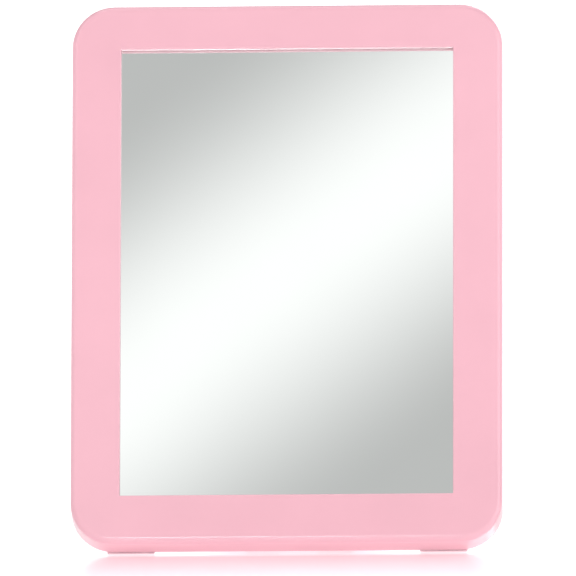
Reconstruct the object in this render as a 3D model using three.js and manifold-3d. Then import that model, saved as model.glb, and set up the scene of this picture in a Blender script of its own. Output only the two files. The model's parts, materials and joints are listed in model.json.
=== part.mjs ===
// Rectangular hand mirror. A moulded plastic frame holds a recessed glass mirror, and a loop handle is
// hinged low on its back. The handle folds flat into the rear cover, swings out as a stand (the pose
// modelled here), or turns right down below the frame as a grip.
// Millimetres, +Z up. The glass faces -Y and leans back. The origin is under the middle of the whole.
//
// The fixed pieces are drawn in the panel's own axes: x across, y from the front face to the back, and z up
// the panel from its lower edge. The handle's pieces are drawn folded, with the hinge axis as their origin.

import * as THREE from 'three';
import { mergeVertices } from 'three/addons/utils/BufferGeometryUtils.js';
import Module from 'manifold-3d';

const wasm = await Module();
wasm.setup();

// Stance
const LEAN = THREE.MathUtils.degToRad(18);
const FLOOR_CLEARANCE = 0.45;

// Fits
const GAP = 0.3;
const OVERCUT = 1;

// Frame
const FRAME_WIDTH = 127;
const FRAME_HEIGHT = 165;
const FRAME_DEPTH = 10.5;
const CORNER_RADIUS = 12.5;
const WALL = 2;
const FACE_THICKNESS = 2;
const FRONT_ROUNDING = 1.8;
const BORDER_SIDE = 14.5;
const BORDER_TOP = 13.5;
const BORDER_BOTTOM = 14.5;
const BOSS_RADIUS = 2.9;
const BOSS_INSET = 4.7;
const RIB_THICKNESS = 1.3;
const RIB_LENGTH = 12;
const RIB_OFFSET = 26;

// Glass and backing board
const GLASS_OVERLAP = 5;
const GLASS_THICKNESS = 3;
const GLASS_CORNER = 1.5;
const BOARD_THICKNESS = 1.5;
const BOARD_INSET = 0.4;

// Rear cover
const FLANGE_THICKNESS = 1.6;
const FLANGE_WIDTH = 8.5;
const SKIN = 1.6;
const PLATEAU_BACK = 12.5;
const PLATEAU_CORNER = 9;
const PLATEAU_ROUNDING = 1;
const CHANNEL_FLOOR = 8.7;
const NOTCH_RADIUS = 9;

// Hinge
const HINGE_HEIGHT = 26;
const HINGE_DEPTH = 11.7;
const PIN_RADIUS = 1.25;
const PRESSED_BORE_RADIUS = 1.3;
const RUNNING_BORE_RADIUS = 1.33;
const EAR_RADIUS = 3.6;
const EAR_LENGTH = 9;
const CAP_RADIUS = 2.1;
const CAP_THICKNESS = 1.2;
const WASHER_RADIUS = 2.6;
const WASHER_THICKNESS = 0.8;

// Handle
const HANDLE_LENGTH = 104;
const HANDLE_WIDTH = 58;
const HANDLE_INNER_FACE = -2.6;
const HANDLE_OUTER_FACE = 0.6;
const HANDLE_CORNER = 20;
const HANDLE_EDGE = 0.7;
const HANDLE_CLEARANCE = 2;
const GRIP_WIDTH = 36;
const GRIP_START = 16;
const GRIP_END = 90;
const GRIP_CORNER = 12;
const BARREL_RADIUS = 2.6;

// Screws
const SCREW_RADIUS = 1;
const SCREW_LENGTH = 5.3;
const SCREW_HOLE_RADIUS = 1.5;
const PILOT_RADIUS = 1.12;
const PILOT_BOTTOM = 3.6;
const HEAD_RADIUS = 2.2;
const HEAD_HEIGHT = 1.2;
const SPRING_HEAD_HEIGHT = 0.8;
const SPRING_SCREW_LENGTH = 1.2;
const RECESS_WIDTH = 0.5;
const RECESS_LENGTH = 2.4;
const RECESS_DEPTH = 0.6;

// Detent spring
const SPRING_WIDTH = 24;
const SPRING_THICKNESS = 0.5;
const SPRING_START = 11.6;
const SPRING_BEND = 19;
const SPRING_END = 23.2;
const SPRING_RISE = 0.7;
const SPRING_SCREW_OFFSET = 8;
const SPRING_SCREW_HEIGHT = 15;

// Rubber feet and handle pads
const FOOT_OFFSET = 46;
const FOOT_WIDTH = 14;
const FOOT_HEIGHT = 7.2;
const FOOT_BACK = 14;
const FOOT_SLOPE = 2;
const PAD_OFFSET = 11;
const PAD_WIDTH = 10;
const PAD_START = 94;
const PAD_END = 101;
const TIP_CLEARANCE = 0.6;

// Mesh fineness
const ROUND_STEPS = 32;
const BORE_STEPS = 48;
const ARC_STEPS = 5;
const EDGE_STEPS = 4;

// Levels through the thickness, from the front face back
const GLASS_FRONT = FACE_THICKNESS + GAP;
const GLASS_BACK = GLASS_FRONT + GLASS_THICKNESS;
const BOARD_FRONT = GLASS_BACK + GAP;
const BOARD_BACK = BOARD_FRONT + BOARD_THICKNESS;
const COVER_FRONT = BOARD_BACK + GAP;
const FLANGE_BACK = COVER_FRONT + FLANGE_THICKNESS;

// The window and its middle
const WINDOW_WIDTH = FRAME_WIDTH - 2 * BORDER_SIDE;
const WINDOW_HEIGHT = FRAME_HEIGHT - BORDER_TOP - BORDER_BOTTOM;
const WINDOW_MIDDLE = BORDER_BOTTOM + WINDOW_HEIGHT / 2;

// Places across the hinge, from the handle's barrel out to the ear's end
const CHANNEL_HALF = HANDLE_WIDTH / 2 + HANDLE_CLEARANCE;
const WASHER_START = CHANNEL_HALF - GAP - WASHER_THICKNESS;
const BARREL_HALF = WASHER_START - GAP;
const EAR_END = CHANNEL_HALF + EAR_LENGTH;
const CAP_START = EAR_END - CAP_THICKNESS;
const PIN_HALF = CAP_START - 2 * GAP;
const CHANNEL_TOP = HINGE_HEIGHT + HANDLE_LENGTH + HANDLE_CLEARANCE;

// Height of the panel's origin above the floor, and the handle's slope down to its foot
const PANEL_LIFT = FRAME_DEPTH * Math.sin(LEAN) + FLOOR_CLEARANCE;
const HINGE_LIFT = PANEL_LIFT + HINGE_HEIGHT * Math.cos(LEAN) - HINGE_DEPTH * Math.sin(LEAN);
const TIP_DROP = HINGE_LIFT - TIP_CLEARANCE;
const TIP_REACH = Math.hypot(HANDLE_LENGTH, HANDLE_OUTER_FACE);
const HANDLE_SLOPE = Math.asin(TIP_DROP / TIP_REACH) - Math.atan2(HANDLE_OUTER_FACE, HANDLE_LENGTH);
const STAND_TURN = Math.PI / 2 - LEAN + HANDLE_SLOPE;

const SCREW_SIDE_X = FRAME_WIDTH / 2 - BOSS_INSET;
const SCREWS = {
  cover_screw_upper_left: [-SCREW_SIDE_X, 135],
  cover_screw_upper_right: [SCREW_SIDE_X, 135],
  cover_screw_lower_left: [-SCREW_SIDE_X, 30],
  cover_screw_lower_right: [SCREW_SIDE_X, 30],
  cover_screw_top: [0, FRAME_HEIGHT - BOSS_INSET],
  cover_screw_bottom: [0, BOSS_INSET],
};

const SIDES = { left: -1, right: 1 };

const MATERIALS = {
  gloss_pink: { color: 0xf9bfcc, roughness: 0.16, metalness: 0 },
  satin_pink: { color: 0xf0b2c1, roughness: 0.42, metalness: 0 },
  mirror: { color: 0xd9dcda, roughness: 0.02, metalness: 1 },
  board: { color: 0xa89f94, roughness: 0.9, metalness: 0 },
  steel: { color: 0xb9bbbe, roughness: 0.3, metalness: 1 },
  nylon: { color: 0xf2efe8, roughness: 0.5, metalness: 0 },
  rubber: { color: 0xd8cfd0, roughness: 0.8, metalness: 0 },
};

// ---- solids and booleans ----

function toSolid(geometry) {
  const bare = geometry.clone();
  bare.deleteAttribute('normal');
  bare.deleteAttribute('uv');
  const merged = mergeVertices(bare);
  const vertProperties = Float32Array.from(merged.attributes.position.array);
  const triVerts = Uint32Array.from(merged.index.array);
  return new wasm.Manifold(new wasm.Mesh({ numProp: 3, vertProperties, triVerts }));
}

function toGeometry(solid) {
  const mesh = solid.getMesh();
  const geometry = new THREE.BufferGeometry();
  geometry.setAttribute('position', new THREE.BufferAttribute(mesh.vertProperties, 3));
  geometry.setIndex(new THREE.BufferAttribute(mesh.triVerts, 1));
  geometry.computeVertexNormals();
  return geometry;
}

// ---- outlines, drawn as x across and z up ----

function roundedRect(left, right, low, high, radius) {
  const shape = new THREE.Shape();
  const quarter = Math.PI / 2;
  shape.absarc(right - radius, low + radius, radius, -quarter, 0);
  shape.absarc(right - radius, high - radius, radius, 0, quarter);
  shape.absarc(left + radius, high - radius, radius, quarter, 2 * quarter);
  shape.absarc(left + radius, low + radius, radius, 2 * quarter, 3 * quarter);
  shape.closePath();
  return shape;
}

function rectangle(left, right, low, high) {
  const corners = [[left, low], [right, low], [right, high], [left, high]];
  return new THREE.Shape(corners.map(([x, z]) => new THREE.Vector2(x, z)));
}

function circle(x, z, radius) {
  const step = (2 * Math.PI) / BORE_STEPS;
  const turns = Array.from({ length: BORE_STEPS }, (_, index) => index * step);
  return new THREE.Shape(turns.map((turn) => (
    new THREE.Vector2(x + radius * Math.cos(turn), z + radius * Math.sin(turn))
  )));
}

function frameOutline(inset) {
  const half = FRAME_WIDTH / 2 - inset;
  return roundedRect(-half, half, inset, FRAME_HEIGHT - inset, CORNER_RADIUS - inset);
}

function windowOutline(margin) {
  const half = WINDOW_WIDTH / 2 + margin;
  const rise = WINDOW_HEIGHT / 2 + margin;
  return rectangle(-half, half, WINDOW_MIDDLE - rise, WINDOW_MIDDLE + rise);
}

function glassOutline(inset) {
  const half = WINDOW_WIDTH / 2 + GLASS_OVERLAP - inset;
  const rise = WINDOW_HEIGHT / 2 + GLASS_OVERLAP - inset;
  return roundedRect(-half, half, WINDOW_MIDDLE - rise, WINDOW_MIDDLE + rise, GLASS_CORNER);
}

function plateauOutline(inset) {
  const margin = WALL + GAP + FLANGE_WIDTH + inset;
  const half = FRAME_WIDTH / 2 - margin;
  return roundedRect(-half, half, margin, FRAME_HEIGHT - margin, PLATEAU_CORNER - inset);
}

// ---- basic bodies ----

// A plate of the given outline from one depth to another. A rounding above zero rounds both its rims.
function slab(outline, front, back, rounding = 0) {
  const geometry = new THREE.ExtrudeGeometry(outline, {
    depth: back - front - 2 * rounding,
    curveSegments: ARC_STEPS,
    bevelEnabled: rounding > 0,
    bevelThickness: rounding,
    bevelSize: rounding,
    bevelOffset: -rounding,
    bevelSegments: EDGE_STEPS,
  });
  geometry.rotateX(Math.PI / 2);
  geometry.translate(0, back - rounding, 0);
  return geometry;
}

// A round bar across the panel, from one x to another, at the given depth and height.
function crossBar(radius, from, to, depth, height, steps) {
  const geometry = new THREE.CylinderGeometry(radius, radius, to - from, steps);
  geometry.rotateZ(Math.PI / 2);
  geometry.translate((from + to) / 2, depth, height);
  return geometry;
}

// A round bar through the panel's thickness.
function throughBar(radius, front, back, x, height) {
  const geometry = new THREE.CylinderGeometry(radius, radius, back - front, ROUND_STEPS);
  geometry.translate(x, (front + back) / 2, height);
  return geometry;
}

// A prism whose profile is a list of [depth, height] corners, running across the panel.
function crossPrism(corners, from, to) {
  const profile = new THREE.Shape(corners.map(([depth, height]) => new THREE.Vector2(depth, height)));
  const geometry = new THREE.ExtrudeGeometry(profile, { depth: to - from, bevelEnabled: false });
  const across = new THREE.Matrix4().makeBasis(
    new THREE.Vector3(0, 1, 0),
    new THREE.Vector3(0, 0, 1),
    new THREE.Vector3(1, 0, 0),
  );
  geometry.applyMatrix4(across);
  geometry.translate(from, 0, 0);
  return geometry;
}

function piece(name, geometry, finish) {
  const mesh = new THREE.Mesh(geometry, new THREE.MeshStandardMaterial(MATERIALS[finish]));
  mesh.name = name;
  return mesh;
}

// ---- frame, glass and backing ----

function bosses() {
  return Object.values(SCREWS).map(([x, height]) => (
    toSolid(throughBar(BOSS_RADIUS, FACE_THICKNESS - GAP, BOARD_BACK, x, height))
  ));
}

// Short ribs beside the glass keep it centred: two along each of its four edges.
function glassRibs() {
  const half = WINDOW_WIDTH / 2 + GLASS_OVERLAP + GAP;
  const rise = WINDOW_HEIGHT / 2 + GLASS_OVERLAP + GAP;
  const ribs = [];
  for (const side of [-1, 1]) {
    for (const end of [-1, 1]) {
      const upright = new THREE.BoxGeometry(RIB_THICKNESS, BOARD_FRONT - FACE_THICKNESS + GAP, RIB_LENGTH);
      const middle = (BOARD_FRONT + FACE_THICKNESS - GAP) / 2;
      const level = upright.clone().rotateY(Math.PI / 2);
      upright.translate(side * (half + RIB_THICKNESS / 2), middle, WINDOW_MIDDLE + end * RIB_OFFSET);
      level.translate(end * RIB_OFFSET, middle, WINDOW_MIDDLE + side * (rise + RIB_THICKNESS / 2));
      ribs.push(toSolid(upright), toSolid(level));
    }
  }
  return ribs;
}

function frontFrame() {
  const block = toSolid(slab(frameOutline(0), 0, FRAME_DEPTH + 2 * FRONT_ROUNDING, FRONT_ROUNDING));
  const beyond = toSolid(slab(frameOutline(-OVERCUT), FRAME_DEPTH, FRAME_DEPTH + 3 * FRONT_ROUNDING));
  const opening = toSolid(slab(windowOutline(0), -OVERCUT, FRAME_DEPTH));
  const pocket = toSolid(slab(frameOutline(WALL), FACE_THICKNESS, FRAME_DEPTH + OVERCUT));
  let frame = block.subtract(beyond).subtract(opening).subtract(pocket);
  for (const added of [...bosses(), ...glassRibs()]) {
    frame = frame.add(added);
  }
  for (const [x, height] of Object.values(SCREWS)) {
    const pilot = throughBar(PILOT_RADIUS, PILOT_BOTTOM, BOARD_BACK + OVERCUT, x, height);
    frame = frame.subtract(toSolid(pilot));
  }
  return piece('front_frame', toGeometry(frame), 'gloss_pink');
}

function mirrorGlass() {
  return piece('mirror_glass', slab(glassOutline(0), GLASS_FRONT, GLASS_BACK), 'mirror');
}

function backingBoard() {
  return piece('backing_board', slab(glassOutline(BOARD_INSET), BOARD_FRONT, BOARD_BACK), 'board');
}

// ---- rear cover ----

// The handle's place in the cover: open at its lower end, with a half-round notch at the top for a fingertip.
function channel(margin, front, back) {
  const half = CHANNEL_HALF + margin;
  const low = WALL + GAP + FLANGE_WIDTH - OVERCUT;
  const mouth = rectangle(-half, half, low, CHANNEL_TOP / 2);
  const run = roundedRect(-half, half, low + OVERCUT, CHANNEL_TOP + margin, HANDLE_CORNER + margin);
  const notch = circle(0, CHANNEL_TOP, NOTCH_RADIUS + margin);
  return toSolid(slab(mouth, front, back))
    .add(toSolid(slab(run, front, back)))
    .add(toSolid(slab(notch, front, back)));
}

function ear(side) {
  const from = side > 0 ? CHANNEL_HALF : -EAR_END;
  return toSolid(crossBar(EAR_RADIUS, from, from + EAR_LENGTH, HINGE_DEPTH, HINGE_HEIGHT, ROUND_STEPS));
}

function capSeat(side) {
  const seatRadius = CAP_RADIUS + GAP;
  const from = side > 0 ? CAP_START - GAP : -EAR_END - OVERCUT;
  const length = CAP_THICKNESS + GAP + OVERCUT;
  return toSolid(crossBar(seatRadius, from, from + length, HINGE_DEPTH, HINGE_HEIGHT, BORE_STEPS));
}

function rearCover() {
  const flange = toSolid(slab(frameOutline(WALL + GAP), COVER_FRONT, FLANGE_BACK));
  const plateau = toSolid(slab(plateauOutline(0), COVER_FRONT, PLATEAU_BACK, PLATEAU_ROUNDING));
  const hollow = toSolid(slab(plateauOutline(SKIN), COVER_FRONT - OVERCUT, PLATEAU_BACK - SKIN))
    .subtract(channel(SKIN, COVER_FRONT - 2 * OVERCUT, PLATEAU_BACK));
  let cover = flange.add(plateau).subtract(hollow);
  cover = cover.subtract(channel(0, CHANNEL_FLOOR, PLATEAU_BACK + OVERCUT));
  for (const side of Object.values(SIDES)) {
    cover = cover.add(ear(side)).subtract(capSeat(side));
  }
  const bore = crossBar(PRESSED_BORE_RADIUS, -EAR_END, EAR_END, HINGE_DEPTH, HINGE_HEIGHT, BORE_STEPS);
  cover = cover.subtract(toSolid(bore));
  for (const [x, height] of Object.values(SCREWS)) {
    const hole = throughBar(SCREW_HOLE_RADIUS, COVER_FRONT - OVERCUT, FLANGE_BACK + OVERCUT, x, height);
    cover = cover.subtract(toSolid(hole));
  }
  for (const side of Object.values(SIDES)) {
    const x = side * SPRING_SCREW_OFFSET;
    const back = CHANNEL_FLOOR + OVERCUT;
    const hole = throughBar(PILOT_RADIUS, COVER_FRONT - OVERCUT, back, x, SPRING_SCREW_HEIGHT);
    cover = cover.subtract(toSolid(hole));
  }
  return piece('rear_cover', toGeometry(cover), 'satin_pink');
}

// ---- screws ----

// A pan-head screw with a cross recess. Its seat is the depth of the surface under its head.
function screw(name, x, height, seat, shankLength, headHeight) {
  const tip = seat - shankLength;
  const top = seat + headHeight;
  const crown = headHeight / 3;
  const profile = [
    [0, tip],
    [SCREW_RADIUS / 2, tip],
    [SCREW_RADIUS, tip + SCREW_RADIUS],
    [SCREW_RADIUS, seat],
    [HEAD_RADIUS, seat],
    [HEAD_RADIUS, top - crown],
    [HEAD_RADIUS - crown, top],
    [0, top],
  ].map(([radius, depth]) => new THREE.Vector2(radius, depth));
  let body = toSolid(new THREE.LatheGeometry(profile, ROUND_STEPS));
  for (const turn of [0, Math.PI / 2]) {
    const slot = new THREE.BoxGeometry(RECESS_LENGTH, 2 * RECESS_DEPTH, RECESS_WIDTH);
    slot.rotateY(turn);
    slot.translate(0, top, 0);
    body = body.subtract(toSolid(slot));
  }
  const mesh = piece(name, toGeometry(body), 'steel');
  mesh.position.set(x, 0, height);
  return mesh;
}

function coverScrews() {
  return Object.entries(SCREWS).map(([name, [x, height]]) => (
    screw(name, x, height, FLANGE_BACK + GAP, SCREW_LENGTH, HEAD_HEIGHT)
  ));
}

// ---- hinge ----

function hingePin() {
  const bar = crossBar(PIN_RADIUS, -PIN_HALF, PIN_HALF, HINGE_DEPTH, HINGE_HEIGHT, BORE_STEPS);
  return piece('hinge_pin', bar, 'steel');
}

function pinCap(label, side) {
  const from = side > 0 ? CAP_START : -EAR_END;
  const bar = crossBar(CAP_RADIUS, from, from + CAP_THICKNESS, HINGE_DEPTH, HINGE_HEIGHT, BORE_STEPS);
  return piece(`pin_cap_${label}`, bar, 'satin_pink');
}

function frictionWasher(label, side) {
  const from = side > 0 ? WASHER_START : -WASHER_START - WASHER_THICKNESS;
  const to = from + WASHER_THICKNESS;
  const disc = toSolid(crossBar(WASHER_RADIUS, from, to, HINGE_DEPTH, HINGE_HEIGHT, BORE_STEPS));
  const hole = crossBar(RUNNING_BORE_RADIUS, from - GAP, to + GAP, HINGE_DEPTH, HINGE_HEIGHT, BORE_STEPS);
  return piece(`friction_washer_${label}`, toGeometry(disc.subtract(toSolid(hole))), 'nylon');
}

// A leaf of spring steel on the channel's floor. Its raised lip clicks against the handle's barrel.
function detentSpring() {
  const under = CHANNEL_FLOOR + GAP;
  const over = under + SPRING_THICKNESS;
  const profile = [
    [under, SPRING_START],
    [over, SPRING_START],
    [over, SPRING_BEND],
    [over + SPRING_RISE, SPRING_END],
    [under + SPRING_RISE, SPRING_END],
    [under, SPRING_BEND],
  ];
  let leaf = toSolid(crossPrism(profile, -SPRING_WIDTH / 2, SPRING_WIDTH / 2));
  for (const side of Object.values(SIDES)) {
    const x = side * SPRING_SCREW_OFFSET;
    const hole = throughBar(SCREW_HOLE_RADIUS, under - GAP, over + GAP, x, SPRING_SCREW_HEIGHT);
    leaf = leaf.subtract(toSolid(hole));
  }
  return piece('detent_spring', toGeometry(leaf), 'steel');
}

function springScrew(label, side) {
  const seat = CHANNEL_FLOOR + SPRING_THICKNESS + 2 * GAP;
  const x = side * SPRING_SCREW_OFFSET;
  const name = `spring_screw_${label}`;
  return screw(name, x, SPRING_SCREW_HEIGHT, seat, SPRING_SCREW_LENGTH, SPRING_HEAD_HEIGHT);
}

// ---- rubber feet ----

// A foot hooks over the frame's lower rim from behind. Its underside is level with the floor.
function rubberFoot(label, side) {
  const floorHeight = (depth) => depth * Math.tan(LEAN) - PANEL_LIFT / Math.cos(LEAN);
  const rimBack = FRAME_DEPTH + GAP;
  const seat = FLANGE_BACK + GAP;
  const rimTop = WALL + GAP;
  const profile = [
    [seat, rimTop],
    [rimBack, rimTop],
    [rimBack, floorHeight(rimBack)],
    [FOOT_BACK, floorHeight(FOOT_BACK)],
    [FOOT_BACK, FOOT_HEIGHT - FOOT_SLOPE],
    [FOOT_BACK - FOOT_SLOPE, FOOT_HEIGHT],
    [seat, FOOT_HEIGHT],
  ];
  const middle = side * FOOT_OFFSET;
  const block = crossPrism(profile, middle - FOOT_WIDTH / 2, middle + FOOT_WIDTH / 2);
  return piece(`rubber_foot_${label}`, block, 'rubber');
}

// ---- handle, folded, with its hinge axis as the origin ----

function handleOutline() {
  const half = HANDLE_WIDTH / 2;
  const quarter = Math.PI / 2;
  const tip = HANDLE_LENGTH - HANDLE_CORNER;
  const outline = new THREE.Shape();
  outline.moveTo(-half, 0);
  outline.lineTo(half, 0);
  outline.absarc(half - HANDLE_CORNER, tip, HANDLE_CORNER, 0, quarter);
  outline.absarc(HANDLE_CORNER - half, tip, HANDLE_CORNER, quarter, 2 * quarter);
  outline.closePath();
  outline.holes.push(roundedRect(-GRIP_WIDTH / 2, GRIP_WIDTH / 2, GRIP_START, GRIP_END, GRIP_CORNER));
  return outline;
}

function handleLoop() {
  const plate = toSolid(slab(handleOutline(), HANDLE_INNER_FACE, HANDLE_OUTER_FACE, HANDLE_EDGE));
  const barrel = toSolid(crossBar(BARREL_RADIUS, -BARREL_HALF, BARREL_HALF, 0, 0, BORE_STEPS));
  const bore = toSolid(crossBar(RUNNING_BORE_RADIUS, -EAR_END, EAR_END, 0, 0, BORE_STEPS));
  return piece('handle_loop', toGeometry(plate.add(barrel).subtract(bore)), 'gloss_pink');
}

// A wedge under the handle's tip. Its underside lies flat on the floor in the standing pose.
function handlePad(label, side) {
  const floorOffset = (reach) => (HINGE_LIFT - reach * Math.sin(HANDLE_SLOPE)) / Math.cos(HANDLE_SLOPE);
  const seat = HANDLE_OUTER_FACE + GAP;
  const profile = [
    [seat, PAD_START],
    [floorOffset(PAD_START), PAD_START],
    [floorOffset(PAD_END), PAD_END],
    [seat, PAD_END],
  ];
  const middle = side * PAD_OFFSET;
  const wedge = crossPrism(profile, middle - PAD_WIDTH / 2, middle + PAD_WIDTH / 2);
  return piece(`handle_pad_${label}`, wedge, 'rubber');
}

// ---- assembly ----

function handle() {
  const group = new THREE.Group();
  group.add(handleLoop());
  for (const [label, side] of Object.entries(SIDES)) {
    group.add(handlePad(label, side));
  }
  group.position.set(0, HINGE_DEPTH, HINGE_HEIGHT);
  group.rotation.x = -STAND_TURN;
  return group;
}

function panel() {
  const group = new THREE.Group();
  group.add(frontFrame(), mirrorGlass(), backingBoard(), rearCover());
  group.add(...coverScrews());
  group.add(hingePin(), detentSpring());
  for (const [label, side] of Object.entries(SIDES)) {
    group.add(pinCap(label, side), frictionWasher(label, side), springScrew(label, side));
    group.add(rubberFoot(label, side));
  }
  group.add(handle());
  group.position.z = PANEL_LIFT;
  group.rotation.x = -LEAN;
  return group;
}

const mirror = new THREE.Group();
mirror.name = 'hand_mirror';
mirror.add(panel());

// The origin goes on the floor, under the middle of the whole.
const extent = new THREE.Box3().setFromObject(mirror, true);
mirror.position.y = -(extent.min.y + extent.max.y) / 2;

export default mirror;
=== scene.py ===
"""Surfaces, finishes and studio for a rectangular hand mirror with a fold-out loop handle.

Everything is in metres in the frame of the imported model: +Z up, the glass facing -Y and leaning back.
"""

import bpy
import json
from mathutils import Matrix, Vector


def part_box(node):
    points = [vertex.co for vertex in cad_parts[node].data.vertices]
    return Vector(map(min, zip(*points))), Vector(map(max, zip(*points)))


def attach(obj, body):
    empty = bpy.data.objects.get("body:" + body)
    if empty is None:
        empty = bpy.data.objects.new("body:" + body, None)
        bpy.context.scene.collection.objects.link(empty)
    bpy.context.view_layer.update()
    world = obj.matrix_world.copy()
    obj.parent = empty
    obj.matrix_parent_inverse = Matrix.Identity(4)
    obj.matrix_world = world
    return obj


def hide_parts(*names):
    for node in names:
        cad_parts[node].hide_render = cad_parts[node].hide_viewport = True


bl_info = {
    "name": "Hand Mirror",
    "version": (1, 0, 0),
    "blender": (4, 5, 0),
    "location": "View3D > Sidebar > Hand Mirror",
    "description": "Builds a framed hand mirror with a fold-out handle, its finishes and a plain studio",
    "category": "Object",
}

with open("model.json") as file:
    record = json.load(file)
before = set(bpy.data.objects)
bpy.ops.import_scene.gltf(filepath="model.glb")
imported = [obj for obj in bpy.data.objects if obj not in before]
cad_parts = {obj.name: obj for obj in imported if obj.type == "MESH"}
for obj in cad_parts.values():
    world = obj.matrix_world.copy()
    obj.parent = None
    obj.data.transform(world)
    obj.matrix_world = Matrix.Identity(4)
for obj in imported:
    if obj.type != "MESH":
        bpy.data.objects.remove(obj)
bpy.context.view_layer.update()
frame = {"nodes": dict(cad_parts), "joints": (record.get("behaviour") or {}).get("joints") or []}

import json
import math

import bmesh
import bpy
import numpy as np
from mathutils import Matrix, Vector

MM = 0.001
GAP = 0.3 * MM
HINGE = next(joint for joint in frame["joints"] if joint["name"] == "handle_hinge")
HINGE_POINT = np.array(HINGE["pos_m"])
FRAME_LOW, FRAME_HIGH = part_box("front_frame")

# A flat face keeps this much of itself level beside each rounded edge, so that the shading stays true.
HOLD = 0.12 * MM

# Points this close are one point, planes this nearly level are one plane, and steeper edges shade as sharp.
SAME_POINT = 0.001 * MM
SAME_PLANE = math.radians(0.5)
SHARP = math.radians(35)

# Most of a noise's values lie in this span, which a Map Range node stretches to 0 to 1 unless told otherwise.
NOISE_SPAN = {"From Min": 0.3, "From Max": 0.7}
COLOUR_MIX = {"data_type": "RGBA"}
SMOOTH = {"interpolation_type": "SMOOTHSTEP"}
WHITE = (1, 1, 1, 1)

# Each softbox: its place in metres, its width and height in metres, and its power in watts.
SOFTBOXES = {
    "key_softbox": ((-0.9, -1.1, 1.3), (1.4, 1.4), 5.5),
    "fill_softbox": ((1.2, -1.0, 0.75), (1.5, 1.4), 8.5),
    "low_softbox": ((-0.09, -1.25, 0.46), (0.2, 0.34), 3.2),
    "top_softbox": ((0.0, 0.1, 1.7), (1.2, 1.2), 5.0),
    "rear_softbox": ((0.5, 1.5, 0.9), (0.9, 0.9), 12.0),
}
SOFTBOX_AIM = (0, 0, 80 * MM)


# ---- settings ----

class PanelSettings(bpy.types.PropertyGroup):
    """Sizes of the frame and the glass."""

    lean: bpy.props.FloatProperty(
        name="Lean", description="Angle between the panel and the vertical",
        default=math.radians(18), subtype="ANGLE")
    width: bpy.props.FloatProperty(
        name="Width", description="Width of the frame",
        default=FRAME_HIGH.x - FRAME_LOW.x, unit="LENGTH")
    height: bpy.props.FloatProperty(
        name="Height", description="Height of the frame along the panel",
        default=165 * MM, unit="LENGTH")
    depth: bpy.props.FloatProperty(
        name="Depth", description="Depth of the frame's outer wall",
        default=10.5 * MM, unit="LENGTH")
    corner: bpy.props.FloatProperty(
        name="Corner radius", description="Radius of the frame's outer corners",
        default=12.5 * MM, unit="LENGTH")
    border_side: bpy.props.FloatProperty(
        name="Side border", description="Width of the face beside the window",
        default=14.5 * MM, unit="LENGTH")
    border_top: bpy.props.FloatProperty(
        name="Top border", description="Width of the face above the window",
        default=13.5 * MM, unit="LENGTH")
    border_bottom: bpy.props.FloatProperty(
        name="Bottom border", description="Width of the face below the window",
        default=14.5 * MM, unit="LENGTH")
    wall: bpy.props.FloatProperty(
        name="Wall", description="Thickness of the frame's face and outer wall",
        default=2 * MM, unit="LENGTH")
    front_rounding: bpy.props.FloatProperty(
        name="Front rounding", description="Radius of the front outer edge",
        default=1.8 * MM, unit="LENGTH")
    rear_rounding: bpy.props.FloatProperty(
        name="Rear rounding", description="Radius of the rear outer edge",
        default=0.4 * MM, unit="LENGTH")
    window_rounding: bpy.props.FloatProperty(
        name="Window rounding", description="Radius of the window's front edge",
        default=0.35 * MM, unit="LENGTH")
    window_corner: bpy.props.FloatProperty(
        name="Window corner", description="Radius of the window's corners",
        default=0.25 * MM, unit="LENGTH")
    glass_overlap: bpy.props.FloatProperty(
        name="Glass overlap", description="How far the glass reaches behind the face",
        default=5 * MM, unit="LENGTH")
    glass_thickness: bpy.props.FloatProperty(
        name="Glass thickness", description="Thickness of the mirror glass",
        default=3 * MM, unit="LENGTH")
    glass_corner: bpy.props.FloatProperty(
        name="Glass corner", description="Radius of the glass's corners",
        default=1.5 * MM, unit="LENGTH")
    arris: bpy.props.FloatProperty(
        name="Arris", description="Width of the ground edge round each rim of the glass",
        default=0.4 * MM, unit="LENGTH")
    hinge_height: bpy.props.FloatProperty(
        name="Hinge height", description="Height of the hinge axis along the panel",
        default=26 * MM, unit="LENGTH")
    hinge_depth: bpy.props.FloatProperty(
        name="Hinge depth", description="Depth of the hinge axis behind the front face",
        default=11.7 * MM, unit="LENGTH")


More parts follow.
